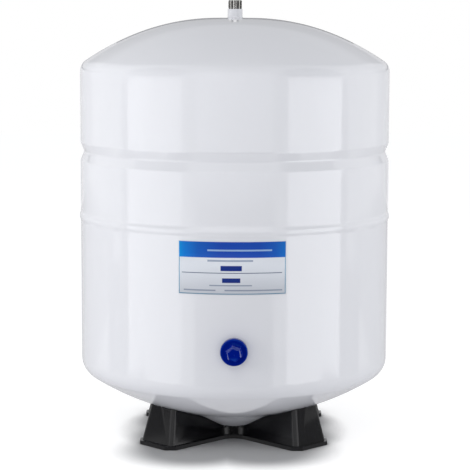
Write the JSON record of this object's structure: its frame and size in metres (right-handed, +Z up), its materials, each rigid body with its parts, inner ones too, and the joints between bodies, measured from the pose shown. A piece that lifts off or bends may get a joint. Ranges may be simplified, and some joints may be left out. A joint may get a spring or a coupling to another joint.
{
  "type": "reverse osmosis storage tank",
  "caption": "Upright round steel pressure tank with domed ends, a rolled groove, a threaded outlet on top, a capped air valve low in front and a four-leg cross stand.",
  "frame": {"origin": "on the floor, on the tank's axis, at the pad in the middle of the stand", "axes": "+Z up along the tank's axis to the outlet, -Y towards the label and the air valve"},
  "size_m": [0.2812, 0.2991, 0.394],
  "materials": {
    "shell_paint": "gloss white powder paint on steel",
    "connector_steel": "turned stainless steel",
    "zinc_steel": "zinc-plated steel",
    "spring_steel": "drawn stainless wire",
    "valve_brass": "turned brass",
    "seal_rubber": "black moulded rubber",
    "butyl_rubber": "black butyl sheet",
    "liner_plastic": "natural polypropylene",
    "cap_plastic": "glossy dark blue plastic",
    "stand_plastic": "glossy black plastic",
    "label_film": "printed film, blue band over white"
  },
  "bodies": {
    "tank": {"upper_shell": "shell_paint", "lower_shell": "shell_paint", "seam_weld": "shell_paint", "port_neck": "shell_paint", "neck_weld": "shell_paint", "inlet_connector": "connector_steel", "connector_o_ring": "seal_rubber", "liner_gasket": "seal_rubber", "connector_nut": "connector_steel", "dome_liner": "liner_plastic", "diaphragm": "butyl_rubber", "clamp_ring": "zinc_steel", "valve_stem": "valve_brass", "valve_gasket": "seal_rubber", "valve_washer": "zinc_steel", "valve_nut": "valve_brass", "core_barrel": "valve_brass", "core_seal": "seal_rubber", "core_spring": "spring_steel", "stand": "stand_plastic", "label": "label_film"},
    "cap_seal": {"cap_gasket": "seal_rubber"},
    "cap": {"valve_cap": "cap_plastic"},
    "core": {"core_pin": "valve_brass", "core_disc": "seal_rubber"}
  },
  "joints": [
    {"name": "cap_lift", "type": "slide", "parent": "tank", "child": "cap_seal", "axis": [0, -1, 0], "range_m": [0, 0.00476]},
    {"name": "cap_turn", "type": "hinge", "parent": "cap_seal", "child": "cap", "pos_m": [0, -0.15, 0.0998], "axis": [0, -1, 0], "range_deg": [0, 2160]},
    {"name": "core_press", "type": "slide", "parent": "tank", "child": "core", "axis": [0, 1, 0], "range_m": [0, 0.0012], "stiffness_N_per_m": 700, "springref_m": -0.001, "deforming": ["core_spring"]}
  ],
  "couplings": [
    {"joint": "cap_turn", "follows": "cap_lift", "rad_per_m": 7913.3}
  ]
}
